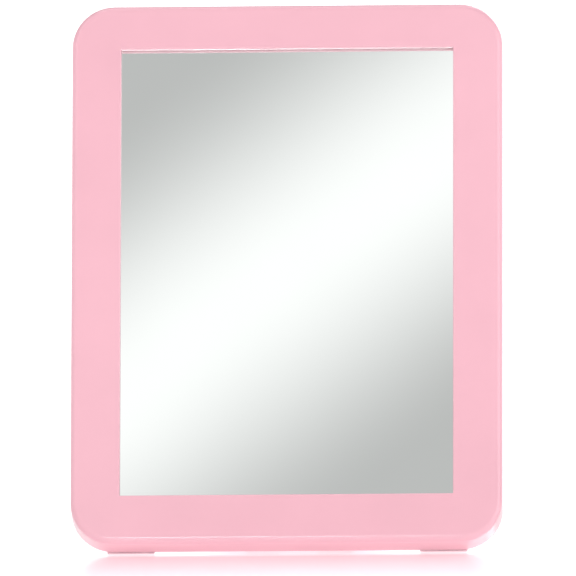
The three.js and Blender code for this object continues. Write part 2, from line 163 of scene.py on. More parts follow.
class HandleSettings(bpy.types.PropertyGroup):
    """Sizes of the loop handle."""

    length: bpy.props.FloatProperty(
        name="Length", description="From the hinge axis to the tip",
        default=104 * MM, unit="LENGTH")
    width: bpy.props.FloatProperty(
        name="Width", description="Width of the loop",
        default=58 * MM, unit="LENGTH")
    corner: bpy.props.FloatProperty(
        name="Tip radius", description="Radius of the two corners at the tip",
        default=20 * MM, unit="LENGTH")
    root_start: bpy.props.FloatProperty(
        name="Root", description="From the hinge axis to the loop's root, which is clear of the pin",
        default=1.5 * MM, unit="LENGTH")
    root_corner: bpy.props.FloatProperty(
        name="Root radius", description="Radius of the two corners at the root",
        default=1.3 * MM, unit="LENGTH")
    inner_face: bpy.props.FloatProperty(
        name="Inner face", description="Offset of the face that lies in the cover when folded",
        default=-2.6 * MM, unit="LENGTH")
    outer_face: bpy.props.FloatProperty(
        name="Outer face", description="Offset of the face that shows when folded",
        default=0.6 * MM, unit="LENGTH")
    rounding: bpy.props.FloatProperty(
        name="Rounding", description="Radius of the loop's edges",
        default=1.1 * MM, unit="LENGTH")
    grip_width: bpy.props.FloatProperty(
        name="Opening width", description="Width of the finger opening",
        default=36 * MM, unit="LENGTH")
    grip_start: bpy.props.FloatProperty(
        name="Opening start", description="From the hinge axis to the opening",
        default=16 * MM, unit="LENGTH")
    grip_end: bpy.props.FloatProperty(
        name="Opening end", description="From the hinge axis to the opening's far end",
        default=90 * MM, unit="LENGTH")
    grip_corner: bpy.props.FloatProperty(
        name="Opening radius", description="Corner radius of the finger opening",
        default=12 * MM, unit="LENGTH")
    barrel_radius: bpy.props.FloatProperty(
        name="Barrel radius", description="Outer radius of the hinge barrel",
        default=2.6 * MM, unit="LENGTH")
    bore_radius: bpy.props.FloatProperty(
        name="Bore radius", description="Radius of the pin's hole in the barrel",
        default=1.33 * MM, unit="LENGTH")
    barrel_rounding: bpy.props.FloatProperty(
        name="Barrel rounding", description="Radius of the rims at the barrel's ends",
        default=0.3 * MM, unit="LENGTH")
    tip_clearance: bpy.props.FloatProperty(
        name="Tip clearance", description="Height of the tip's lower edge above the floor",
        default=0.6 * MM, unit="LENGTH")


class StudioSettings(bpy.types.PropertyGroup):
    """The camera, the lights and the panel that the glass reflects."""

    azimuth: bpy.props.FloatProperty(
        name="Azimuth", description="How far the camera stands to the right of the front",
        default=math.radians(2.0), subtype="ANGLE")
    elevation: bpy.props.FloatProperty(
        name="Elevation", description="Height of the camera above the level, as an angle",
        default=math.radians(1.5), subtype="ANGLE")
    roll: bpy.props.FloatProperty(
        name="Roll", description="Turn of the camera about its own axis, clockwise from behind",
        default=math.radians(0.51), subtype="ANGLE")
    distance: bpy.props.FloatProperty(
        name="Distance", description="From the camera to the mirror",
        default=7.0, unit="LENGTH")
    picture_width: bpy.props.FloatProperty(
        name="Picture width", description="Width of what the camera sees at the mirror",
        default=169.7 * MM, unit="LENGTH")
    raise_view: bpy.props.FloatProperty(
        name="Raise", description="How far the middle of the view lies above the panel's middle",
        default=-3.2 * MM, unit="LENGTH")
    side_view: bpy.props.FloatProperty(
        name="Side", description="How far the middle of the view lies right of the panel's middle",
        default=0.2 * MM, unit="LENGTH")
    card_distance: bpy.props.FloatProperty(
        name="Card distance", description="From the glass to the card that it reflects",
        default=600 * MM, unit="LENGTH")
    card_size: bpy.props.FloatProperty(
        name="Card size", description="Side of the square card",
        default=440 * MM, unit="LENGTH")
    band_angle: bpy.props.FloatProperty(
        name="Band angle", description="Rise of the card's bright band from the level",
        default=math.radians(37.0), subtype="ANGLE")
    band_offset: bpy.props.FloatProperty(
        name="Band offset", description="How far the bright band lies above the card's middle",
        default=1.6 * MM, unit="LENGTH")
    band_core: bpy.props.FloatProperty(
        name="Band core", description="Half width of the fully bright part of the band",
        default=1.6 * MM, unit="LENGTH")
    band_reach: bpy.props.FloatProperty(
        name="Band reach", description="Half width of the band with its soft edges",
        default=72.5 * MM, unit="LENGTH")
    floor_side: bpy.props.FloatProperty(
        name="Floor side", description="Side of the square light table",
        default=24.0, unit="LENGTH")
    card_dim: bpy.props.FloatProperty(
        name="Card, dim", description="Brightness of the card away from its band", default=0.56)
    card_bright: bpy.props.FloatProperty(
        name="Card, bright", description="Brightness of the card in its band", default=1.12)
    room_level: bpy.props.FloatProperty(
        name="Room, level", description="Brightness of the room at eye level", default=1.03)
    room_overhead: bpy.props.FloatProperty(
        name="Room, overhead", description="Brightness of the room overhead", default=0.5)
    glow_under: bpy.props.FloatProperty(
        name="Glow under", description="Brightness of the light table under the mirror", default=0.32)
    glow_near: bpy.props.FloatProperty(
        name="Glow near", description="Brightness of the light table just clear of it", default=0.06)
    glow_beyond: bpy.props.FloatProperty(
        name="Glow beyond", description="Brightness of the light table further out", default=0.55)


class ColourSettings(bpy.types.PropertyGroup):
    """The colours that a user would change, as sRGB hex codes."""

    pink: bpy.props.StringProperty(
        name="Frame", description="Glossy plastic of the frame and the handle", default="E8B0BD")
    cover: bpy.props.StringProperty(
        name="Cover", description="Satin plastic of the rear cover", default="D99FAE")
    silver: bpy.props.StringProperty(
        name="Mirror", description="Silvered glass", default="F2F5F3")
    rubber: bpy.props.StringProperty(
        name="Rubber", description="Feet and pads", default="F0D5DB")


class HandMirrorSettings(bpy.types.PropertyGroup):
    """All the settings of the hand mirror."""

    panel: bpy.props.PointerProperty(type=PanelSettings)
    handle: bpy.props.PointerProperty(type=HandleSettings)
    studio: bpy.props.PointerProperty(type=StudioSettings)
    colours: bpy.props.PointerProperty(type=ColourSettings)


# ---- axes ----

def panel_axes(panel):
    """The panel's origin and its directions across, back and up, as numpy vectors.

    The origin is the frame's lower front edge, found by going down and forward from the hinge axis.
    """
    across = np.array([1.0, 0.0, 0.0])
    back = np.array([0.0, math.cos(panel.lean), -math.sin(panel.lean)])
    up = np.array([0.0, math.sin(panel.lean), math.cos(panel.lean)])
    origin = HINGE_POINT - panel.hinge_depth * back - panel.hinge_height * up
    return origin, across, back, up


def handle_axes(handle):
    """The handle's origin on the hinge axis and its directions across, outward and along.

    The slope is the one that puts the tip's lower edge at its clearance above the floor.
    """
    drop = HINGE_POINT[2] - handle.tip_clearance
    reach = math.hypot(handle.length, handle.outer_face)
    slope = math.asin(drop / reach) - math.atan2(handle.outer_face, handle.length)
    across = np.array([1.0, 0.0, 0.0])
    along = np.array([0.0, math.cos(slope), -math.sin(slope)])
    outward = np.array([0.0, -math.sin(slope), -math.cos(slope)])
    return HINGE_POINT, across, outward, along


# ---- surfaces ----

def arc(centre, radius, start, end, steps):
    """Points centre + radius * (cos a, sin a) for a from start to end in degrees."""
    angle = np.radians(np.linspace(start, end, steps))
    return np.asarray(centre) + radius * np.stack([np.cos(angle), np.sin(angle)], axis=1)


def rounded_outline(left, right, low, high, radii, arc_steps=14, edge_steps=8):
    """An anticlockwise rounded rectangle, and its outward normals.

    Each corner is centre + radius * (cos a, sin a) over a quarter turn. Each edge is the straight blend
    between two corners' ends, with the normal of the corner that it leaves. The corners run from the
    lower right one round to the lower left one.
    """
    radii = np.broadcast_to(np.asarray(radii, float), (4,))
    sign = np.array([[1, -1], [1, 1], [-1, 1], [-1, -1]], float)
    reach = np.where(sign > 0, [right, high], [left, low])
    centres = reach - sign * radii[:, None]
    angle = np.radians(np.linspace(-90, 0, arc_steps))[None, :] + np.radians(90 * np.arange(4))[:, None]
    normals = np.stack([np.cos(angle), np.sin(angle)], axis=2)
    arcs = centres[:, None, :] + radii[:, None, None] * normals
    blend = np.linspace(0, 1, edge_steps + 2)[1:-1][None, :, None]
    starts = arcs[:, -1:, :]
    ends = np.roll(arcs[:, :1, :], -1, axis=0)
    edges = starts * (1 - blend) + ends * blend
    edge_normals = np.repeat(normals[:, -1:, :], edge_steps, axis=1)
    points = np.concatenate([arcs, edges], axis=1).reshape(-1, 2)
    directions = np.concatenate([normals, edge_normals], axis=1).reshape(-1, 2)
    return points, directions


def grid_faces(rows, columns, wrap_rows, wrap_columns):
    """Quads (i, j), (i + 1, j), (i + 1, j + 1), (i, j + 1) over a grid, closed on itself where it wraps."""
    i = np.arange(rows if wrap_rows else rows - 1)[:, None]
    j = np.arange(columns if wrap_columns else columns - 1)[None, :]
    i_next = (i + 1) % rows
    j_next = (j + 1) % columns
    corners = [i * columns + j, i_next * columns + j, i_next * columns + j_next, i * columns + j_next]
    return np.stack(np.broadcast_arrays(*corners), axis=2).reshape(-1, 4)


def signed_volume(points, faces):
    """The sum over each quad's two triangles of a . (b x c) / 6. It is positive when faces point out."""
    a, b, c, d = (points[faces[:, k]] for k in range(4))
    first = np.einsum("ij,ij->i", a, np.cross(b, c))
    second = np.einsum("ij,ij->i", a, np.cross(c, d))
    return (first.sum() + second.sum()) / 6


def surface_object(name, points, faces):
    """A smooth-shaded mesh object of numpy points and quads, turned so that its faces point outwards."""
    if signed_volume(points - points.mean(axis=0), faces) < 0:
        faces = faces[:, ::-1]
    mesh = bpy.data.meshes.new(name)
    mesh.from_pydata(points.tolist(), [], faces.tolist())
    mesh.shade_smooth()
    mesh.validate()
    piece = bpy.data.objects.new(name, mesh)
    bpy.context.scene.collection.objects.link(piece)
    return piece


def ring_points(outer, inner, profile, axes):
    """A closed profile carried round between two outlines.

    A profile row is (side, offset, depth): the point is the outer outline's for side 0 and the inner
    one's for side 1, moved along that outline's outward normal by the offset, at that depth. The grid
    has one row for each outline point and one column for each profile row.
    """
    origin, across, back, up = axes
    side, offset, depth = (profile[:, k][None, :, None] for k in range(3))
    paths = [points[:, None, :] + offset * normals[:, None, :] for points, normals in (outer, inner)]
    flat = paths[0] * (1 - side) + paths[1] * side
    placed = origin + flat[..., :1] * across + depth * back + flat[..., 1:] * up
    return placed.reshape(-1, 3)


def profile_part(side, points):
    """Profile rows on one side from points of (offset, depth)."""
    points = np.asarray(points, float)
    return np.column_stack([np.full(len(points), float(side)), points])


def disc_points(outline, profile, axes):
    """Nested outlines from one face's middle to the other's.

    A profile row is (shrink, offset, depth): the outline, drawn in towards its own middle by the factor
    1 - shrink and moved along its normal by the offset. A shrink of 1 is the closed pole in the middle.
    """
    origin, across, back, up = axes
    points, normals = outline
    middle = (points.min(axis=0) + points.max(axis=0)) / 2
    shrink, offset, depth = (profile[:, k][None, :, None] for k in range(3))
    flat = middle + (points[:, None, :] - middle) * (1 - shrink) + offset * normals[:, None, :]
    placed = origin + flat[..., :1] * across + depth * back + flat[..., 1:] * up
    return placed.reshape(-1, 3)


def merged(piece):
    """The piece with coincident points joined, so that poles and seams are closed."""
    sculpt = bmesh.new()
    sculpt.from_mesh(piece.data)
    bmesh.ops.remove_doubles(sculpt, verts=sculpt.verts, dist=SAME_POINT / 2)
    bmesh.ops.dissolve_degenerate(sculpt, edges=sculpt.edges, dist=SAME_POINT / 20)
    sculpt.to_mesh(piece.data)
    sculpt.free()
    return piece


def softened_copy(node, rounding, steps=2):
    """A copy of a CAD node with its triangles joined into flat faces and its sharp edges rounded."""
    mesh = frame["nodes"][node].data.copy()
    sculpt = bmesh.new()
    sculpt.from_mesh(mesh)
    bmesh.ops.remove_doubles(sculpt, verts=sculpt.verts, dist=SAME_POINT)
    bmesh.ops.dissolve_limit(
        sculpt, angle_limit=SAME_PLANE, verts=sculpt.verts, edges=sculpt.edges)
    sculpt.to_mesh(mesh)
    sculpt.free()
    mesh.shade_smooth()
    mesh.set_sharp_from_angle(angle=SHARP)
    piece = bpy.data.objects.new(node + "_moulded", mesh)
    bpy.context.scene.collection.objects.link(piece)
    bevel = piece.modifiers.new("Rounded edges", "BEVEL")
    bevel.width = rounding
    bevel.segments = steps
    bevel.limit_method = "ANGLE"
    bevel.angle_limit = SHARP
    bevel.use_clamp_overlap = True
    level = piece.modifiers.new("Level faces", "WEIGHTED_NORMAL")
    level.keep_sharp = True
    return piece


def place(piece, body, slot, material, *nodes):
    """The piece rides on the body, takes the material, and stands for the CAD nodes. The slot is not used."""
    piece.data.materials.clear()
    piece.data.materials.append(material)
    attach(piece, body)
    if nodes:
        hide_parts(*nodes)
    return piece


# ---- material helpers ----

def linear(code, factor=1.0):
    """An sRGB hex colour as linear red, green and blue, made lighter or darker by the factor, and opaque."""
    channels = np.array([int(code[k:k + 2], 16) for k in (0, 2, 4)]) / 255
    low = channels / 12.92
    high = ((channels + 0.055) / 1.055) ** 2.4
    values = np.where(channels <= 0.04045, low, high) * factor
    return (*np.minimum(values, 1).tolist(), 1.0)


def per_mm(size):
    """The texture scale whose features are about this many millimetres across."""
    return 1 / (size * MM)


def add_node(tree, kind, settings=None, values=None, links=None):
    """A new node with its settings, its sockets' values and what feeds it.

    A link's source is a socket, or a node, which stands for its first live output.
    """
    node = tree.nodes.new(kind)
    for name, value in (settings or {}).items():
        setattr(node, name, value)
    for name, value in (values or {}).items():
        node.inputs[name].default_value = value
    for name, source in (links or {}).items():
        if isinstance(source, bpy.types.Node):
            source = next(socket for socket in source.outputs if socket.enabled)
        tree.links.new(source, node.inputs[name])
    return node


def start_material(name):
    """A material with an empty node tree, and the tree."""
    material = bpy.data.materials.new(name)
    material.use_nodes = True
    tree = material.node_tree
    tree.nodes.clear()
    return material, tree


# ---- materials ----

def polished_abs(colours):
    """Injection-moulded ABS from a polished tool: an even pastel gloss with barely visible flow mottling."""
    material, tree = start_material("Injection-moulded gloss ABS")
    point = add_node(tree, "ShaderNodeTexCoord").outputs["Object"]
    # Pigment streaks about 20 mm long shift the pink by one or two percent.
    flow = add_node(
        tree, "ShaderNodeTexNoise", values={"Scale": per_mm(20), "Detail": 3}, links={"Vector": point})
    streaks = add_node(tree, "ShaderNodeMapRange", values=NOISE_SPAN, links={"Value": flow})
    colour = add_node(
        tree, "ShaderNodeMix", settings=COLOUR_MIX,
        values={"A": linear(colours.pink, 0.985), "B": linear(colours.pink, 1.015)},
        links={"Factor": streaks})
    # Handling leaves patches of slightly softer gloss a few millimetres across.
    handled = add_node(
        tree, "ShaderNodeTexNoise", values={"Scale": per_mm(6), "Detail": 4}, links={"Vector": point})
    gloss = add_node(
        tree, "ShaderNodeMapRange", values={**NOISE_SPAN, "To Min": 0.13, "To Max": 0.2},
        links={"Value": handled})
    # Sink and flow make a faint orange peel, 2.5 mm across and half a micron deep.
    peel = add_node(
        tree, "ShaderNodeTexNoise", values={"Scale": per_mm(2.5), "Detail": 1}, links={"Vector": point})
    relief = add_node(
        tree, "ShaderNodeBump", values={"Strength": 1, "Distance": 0.0006 * MM}, links={"Height": peel})
    surface = add_node(
        tree, "ShaderNodeBsdfPrincipled", values={"IOR": 1.54},
        links={"Base Color": colour, "Roughness": gloss, "Normal": relief})
    add_node(tree, "ShaderNodeOutputMaterial", links={"Surface": surface})
    return material


def satin_abs(colours):
    """The same ABS from a spark-eroded tool: a fine even grain that spreads the highlights."""
    material, tree = start_material("Injection-moulded satin ABS")
    point = add_node(tree, "ShaderNodeTexCoord").outputs["Object"]
    # Pigment streaks about 24 mm long, like the gloss plastic's but a little stronger.
    flow = add_node(
        tree, "ShaderNodeTexNoise", values={"Scale": per_mm(24), "Detail": 3}, links={"Vector": point})
    streaks = add_node(tree, "ShaderNodeMapRange", values=NOISE_SPAN, links={"Value": flow})
    colour = add_node(
        tree, "ShaderNodeMix", settings=COLOUR_MIX,
        values={"A": linear(colours.cover, 0.97), "B": linear(colours.cover, 1.02)},
        links={"Factor": streaks})
    # The real grain is about 0.05 mm; it is drawn at 0.35 mm so that it shows.
    grain = add_node(
        tree, "ShaderNodeTexNoise", values={"Scale": per_mm(0.35), "Detail": 2}, links={"Vector": point})
    satin = add_node(
        tree, "ShaderNodeMapRange", values={**NOISE_SPAN, "To Min": 0.36, "To Max": 0.5},
        links={"Value": grain})
    relief = add_node(
        tree, "ShaderNodeBump", values={"Strength": 1, "Distance": 0.012 * MM}, links={"Height": grain})
    surface = add_node(
        tree, "ShaderNodeBsdfPrincipled", values={"IOR": 1.54},
        links={"Base Color": colour, "Roughness": satin, "Normal": relief})
    add_node(tree, "ShaderNodeOutputMaterial", links={"Surface": surface})
    return material


def silvered_glass(colours):
    """Float glass with a silver back: a clear cool reflection, with a trace of wiping marks."""
    material, tree = start_material("Silvered float glass")
    point = add_node(tree, "ShaderNodeTexCoord").outputs["Object"]
    # The silver is a trace thinner in some places, unevenly over a few centimetres.
    cloud = add_node(
        tree, "ShaderNodeTexNoise", values={"Scale": per_mm(45), "Detail": 1}, links={"Vector": point})
    thinner = add_node(tree, "ShaderNodeMapRange", values=NOISE_SPAN, links={"Value": cloud})
    colour = add_node(
        tree, "ShaderNodeMix", settings=COLOUR_MIX,
        values={"A": linear(colours.silver, 0.985), "B": linear(colours.silver)},
        links={"Factor": thinner})
    # Wiping leaves long faint streaks, 9 mm wide, that dull the reflection very slightly.
    wiped = add_node(
        tree, "ShaderNodeMapping",
        values={"Rotation": (0, math.radians(35), 0), "Scale": (1, 1, 0.15)},
        links={"Vector": point})
    marks = add_node(
        tree, "ShaderNodeTexNoise", values={"Scale": per_mm(9), "Detail": 5, "Roughness": 0.6},
        links={"Vector": wiped})
    dulled = add_node(
        tree, "ShaderNodeMapRange",
        values={"From Min": 0.5, "From Max": 0.8, "To Min": 0, "To Max": 0.012},
        links={"Value": marks})
    surface = add_node(
        tree, "ShaderNodeBsdfPrincipled",
        values={"Metallic": 1, "Coat Weight": 1, "Coat Roughness": 0, "Coat IOR": 1.52},
        links={"Base Color": colour, "Roughness": dulled})
    add_node(tree, "ShaderNodeOutputMaterial", links={"Surface": surface})
    return material


def zinc_plated_steel():
    """Cold-headed steel with bright zinc: a soft bluish metal with fine drawn marks."""
    material, tree = start_material("Zinc-plated steel")
    point = add_node(tree, "ShaderNodeTexCoord").outputs["Object"]
    # The zinc's bloom is cloudy, 1.4 mm across.
    bloom = add_node(
        tree, "ShaderNodeTexNoise", values={"Scale": per_mm(1.4), "Detail": 3}, links={"Vector": point})
    cloudy = add_node(tree, "ShaderNodeMapRange", values=NOISE_SPAN, links={"Value": bloom})
    colour = add_node(
        tree, "ShaderNodeMix", settings=COLOUR_MIX,
        values={"A": linear("B4B8BE"), "B": linear("CFD1D2")}, links={"Factor": cloudy})
    # Drawn marks, 0.25 mm across, break up the highlights.
    marks = add_node(
        tree, "ShaderNodeTexNoise", values={"Scale": per_mm(0.25), "Detail": 2}, links={"Vector": point})
    gloss = add_node(
        tree, "ShaderNodeMapRange", values={**NOISE_SPAN, "To Min": 0.22, "To Max": 0.38},
        links={"Value": marks})
    relief = add_node(
        tree, "ShaderNodeBump", values={"Strength": 1, "Distance": 0.004 * MM}, links={"Height": marks})
    surface = add_node(
        tree, "ShaderNodeBsdfPrincipled", values={"Metallic": 1},
        links={"Base Color": colour, "Roughness": gloss, "Normal": relief})
    add_node(tree, "ShaderNodeOutputMaterial", links={"Surface": surface})
    return material


def spring_strip():
    """Rolled spring steel: straight rolling lines across a darker metal."""
    material, tree = start_material("Rolled spring steel")
    point = add_node(tree, "ShaderNodeTexCoord").outputs["Object"]
    # The rolls leave lines 0.3 mm apart that run on for several millimetres.
    rolled = add_node(
        tree, "ShaderNodeMapping", values={"Scale": (0.04, 1, 1)}, links={"Vector": point})
    lines = add_node(
        tree, "ShaderNodeTexNoise", values={"Scale": per_mm(0.3), "Detail": 3}, links={"Vector": rolled})
    share = add_node(tree, "ShaderNodeMapRange", values=NOISE_SPAN, links={"Value": lines})
    colour = add_node(
        tree, "ShaderNodeMix", settings=COLOUR_MIX,
        values={"A": linear("8E9096"), "B": linear("ABADB2")}, links={"Factor": share})
    gloss = add_node(
        tree, "ShaderNodeMapRange", values={**NOISE_SPAN, "To Min": 0.2, "To Max": 0.4},
        links={"Value": lines})
    relief = add_node(
        tree, "ShaderNodeBump", values={"Strength": 1, "Distance": 0.003 * MM}, links={"Height": lines})
    surface = add_node(
        tree, "ShaderNodeBsdfPrincipled", values={"Metallic": 1},
        links={"Base Color": colour, "Roughness": gloss, "Normal": relief})
    add_node(tree, "ShaderNodeOutputMaterial", links={"Surface": surface})
    return material


def moulded_rubber(colours):
    """Moulded thermoplastic rubber: dull, with a fine tooth."""
    material, tree = start_material("Moulded thermoplastic rubber")
    point = add_node(tree, "ShaderNodeTexCoord").outputs["Object"]
    # Dust and bloom shift the colour in patches 4 mm across.
    bloom = add_node(
        tree, "ShaderNodeTexNoise", values={"Scale": per_mm(4), "Detail": 2}, links={"Vector": point})
    patches = add_node(tree, "ShaderNodeMapRange", values=NOISE_SPAN, links={"Value": bloom})
    colour = add_node(
        tree, "ShaderNodeMix", settings=COLOUR_MIX,
        values={"A": linear(colours.rubber, 0.94), "B": linear(colours.rubber, 1.03)},
        links={"Factor": patches})
    # The mould's tooth is 0.3 mm across.
    tooth = add_node(
        tree, "ShaderNodeTexNoise", values={"Scale": per_mm(0.3), "Detail": 3}, links={"Vector": point})
    dull = add_node(
        tree, "ShaderNodeMapRange", values={**NOISE_SPAN, "To Min": 0.7, "To Max": 0.9},
        links={"Value": tooth})
    relief = add_node(
        tree, "ShaderNodeBump", values={"Strength": 1, "Distance": 0.03 * MM}, links={"Height": tooth})
    surface = add_node(
        tree, "ShaderNodeBsdfPrincipled", values={"IOR": 1.5},
        links={"Base Color": colour, "Roughness": dull, "Normal": relief})
    add_node(tree, "ShaderNodeOutputMaterial", links={"Surface": surface})
    return material


def natural_nylon():
    """Uncoloured nylon: milky, slightly translucent, with a waxy gloss."""
    material, tree = start_material("Natural nylon")
    point = add_node(tree, "ShaderNodeTexCoord").outputs["Object"]
    # The milkiness is uneven over 2 mm.
    cloud = add_node(
        tree, "ShaderNodeTexNoise", values={"Scale": per_mm(2), "Detail": 2}, links={"Vector": point})
    milky = add_node(tree, "ShaderNodeMapRange", values=NOISE_SPAN, links={"Value": cloud})
    colour = add_node(
        tree, "ShaderNodeMix", settings=COLOUR_MIX,
        values={"A": linear("E9E4D8"), "B": linear("F4F1EA")}, links={"Factor": milky})
    # Wear makes the wax look patchy, half a millimetre across.
    worn = add_node(
        tree, "ShaderNodeTexNoise", values={"Scale": per_mm(0.5), "Detail": 2}, links={"Vector": point})
    waxy = add_node(
        tree, "ShaderNodeMapRange", values={**NOISE_SPAN, "To Min": 0.35, "To Max": 0.5},
        links={"Value": worn})
    surface = add_node(
        tree, "ShaderNodeBsdfPrincipled",
        values={"IOR": 1.53, "Subsurface Weight": 0.3, "Subsurface Scale": 0.5 * MM},
        links={"Base Color": colour, "Roughness": waxy})
    add_node(tree, "ShaderNodeOutputMaterial", links={"Surface": surface})
    return material


def pressed_greyboard():
    """Greyboard pressed from waste paper: dull brown-grey with light and dark fibres."""
    material, tree = start_material("Pressed greyboard")
    point = add_node(tree, "ShaderNodeTexCoord").outputs["Object"]
    # Fibres lie up the board, 0.5 mm wide and five times as long.
    laid = add_node(tree, "ShaderNodeMapping", values={"Scale": (1, 1, 0.2)}, links={"Vector": point})
    fibres = add_node(
        tree, "ShaderNodeTexNoise", values={"Scale": per_mm(0.5), "Detail": 6, "Roughness": 0.7},
        links={"Vector": laid})
    share = add_node(tree, "ShaderNodeMapRange", values=NOISE_SPAN, links={"Value": fibres})
    colour = add_node(
        tree, "ShaderNodeMix", settings=COLOUR_MIX,
        values={"A": linear("8C8478"), "B": linear("B9B1A6")}, links={"Factor": share})
    relief = add_node(
        tree, "ShaderNodeBump", values={"Strength": 1, "Distance": 0.05 * MM}, links={"Height": fibres})
    surface = add_node(
        tree, "ShaderNodeBsdfPrincipled", values={"Roughness": 0.92},
        links={"Base Color": colour, "Normal": relief})
    add_node(tree, "ShaderNodeOutputMaterial", links={"Surface": surface})
    return material


# ---- studio materials ----

def backlit_acrylic(studio):
    """A polished acrylic light table that carries a soft reflection of what stands on it.

    It glows under the object and again further out, so that the reflection fades into white. Each glow is
    a smooth step of the larger of the distances across and along from the middle, between two edges.
    """
    under_edges = (55 * MM, 80 * MM)
    beyond_edges = (70 * MM, 400 * MM)
    material, tree = start_material("Backlit polished acrylic")
    point = add_node(tree, "ShaderNodeTexCoord").outputs["Object"]
    # The sheet's own white is uneven by one step in a hundred, over 0.9 m.
    cloud = add_node(
        tree, "ShaderNodeTexNoise", values={"Scale": per_mm(900), "Detail": 1}, links={"Vector": point})
    share = add_node(tree, "ShaderNodeMapRange", values=NOISE_SPAN, links={"Value": cloud})
    colour = add_node(
        tree, "ShaderNodeMix", settings=COLOUR_MIX,
        values={"A": linear("FAFAFA"), "B": linear("FDFDFD")}, links={"Factor": share})
    parts = add_node(tree, "ShaderNodeSeparateXYZ", links={"Vector": point})
    across = add_node(
        tree, "ShaderNodeMath", settings={"operation": "ABSOLUTE"}, links={0: parts.outputs["X"]})
    along = add_node(
        tree, "ShaderNodeMath", settings={"operation": "ABSOLUTE"}, links={0: parts.outputs["Y"]})
    reach = add_node(
        tree, "ShaderNodeMath", settings={"operation": "MAXIMUM"}, links={0: across, 1: along})
    under = add_node(
        tree, "ShaderNodeMapRange", settings=SMOOTH,
        values={
            "From Min": under_edges[0], "From Max": under_edges[1],
            "To Min": studio.glow_under, "To Max": 0},
        links={"Value": reach})
    beyond = add_node(
        tree, "ShaderNodeMapRange", settings=SMOOTH,
        values={
            "From Min": beyond_edges[0], "From Max": beyond_edges[1],
            "To Min": studio.glow_near, "To Max": studio.glow_beyond},
        links={"Value": reach})
    glow = add_node(
        tree, "ShaderNodeMath", settings={"operation": "ADD"}, links={0: under, 1: beyond})
    surface = add_node(
        tree, "ShaderNodeBsdfPrincipled",
        values={"Roughness": 0.09, "IOR": 1.45, "Emission Color": WHITE},
        links={"Base Color": colour, "Emission Strength": glow})
    add_node(tree, "ShaderNodeOutputMaterial", links={"Surface": surface})
    return material


def diffuser_card(studio):
    """A lit card, grey with one bright diagonal band.

    Across the band, brightness is the smooth step between its values at the core and at the reach.
    """
    material, tree = start_material("Lit diffuser")
    point = add_node(tree, "ShaderNodeUVMap", settings={"uv_map": "card"})
    rise = add_node(
        tree, "ShaderNodeVectorMath", settings={"operation": "DOT_PRODUCT"},
        values={1: (-math.sin(studio.band_angle), math.cos(studio.band_angle), 0)},
        links={0: point})
    offset = add_node(
        tree, "ShaderNodeMath", settings={"operation": "SUBTRACT"},
        values={1: studio.band_offset}, links={0: rise})
    away = add_node(
        tree, "ShaderNodeMath", settings={"operation": "ABSOLUTE"}, links={0: offset})
    light = add_node(
        tree, "ShaderNodeMapRange", settings=SMOOTH,
        values={
            "From Min": studio.band_core, "From Max": studio.band_reach,
            "To Min": studio.card_bright, "To Max": studio.card_dim},
        links={"Value": away})
    emission = add_node(tree, "ShaderNodeEmission", links={"Strength": light})
    add_node(tree, "ShaderNodeOutputMaterial", links={"Surface": emission})
    return material


# ---- operators ----

def settings():
    """The scene's hand mirror settings."""
    return bpy.context.scene.hand_mirror


class HANDMIRROR_OT_front_frame(bpy.types.Operator):
    """Add the moulded frame round the glass"""

    bl_idname = "hand_mirror.front_frame"
    bl_label = "Front frame"

    def execute(self, context):
        """A C-shaped wall section carried round between the outer outline and the window."""
        panel = settings().panel
        half = panel.width / 2
        outer = rounded_outline(-half, half, 0, panel.height, panel.corner)
        side = half - panel.border_side
        window = rounded_outline(
            -side, side, panel.border_bottom, panel.height - panel.border_top, panel.window_corner)
        wall, depth = panel.wall, panel.depth
        front, lip, rear = panel.front_rounding, panel.window_rounding, panel.rear_rounding
        # A bead behind the window's lip bears on the glass.
        bead = 0.25 * MM
        profile = np.concatenate([
            profile_part(0, [(-wall + rear + HOLD, depth)]),
            profile_part(0, [(-rear - HOLD, depth)]),
            profile_part(0, arc((-rear, depth - rear), rear, 90, 0, 6)),
            profile_part(0, [(0, depth - rear - HOLD), (0, front + HOLD)]),
            profile_part(0, arc((-front, front), front, 0, -90, 14)),
            profile_part(0, [(-front - HOLD, 0)]),
            profile_part(1, [(lip + HOLD, 0)]),
            profile_part(1, arc((lip, lip), lip, -90, -180, 8)),
            profile_part(1, [(0, lip + HOLD), (0, wall), (HOLD / 2, wall + bead - HOLD / 2)]),
            profile_part(1, [(bead, wall + bead), (4 * bead, wall + bead), (6 * bead, wall)]),
            profile_part(0, [(-wall - 2 * bead, wall)]),
            profile_part(0, [(-wall, wall + 2 * bead), (-wall, depth - rear)]),
        ])
        points = ring_points(outer, window, profile, panel_axes(panel))
        faces = grid_faces(len(outer[0]), len(profile), True, True)
        piece = surface_object("moulded_frame", points, faces)
        place(piece, "mirror", "gloss_pink_abs", polished_abs(settings().colours), "front_frame")
        return {"FINISHED"}


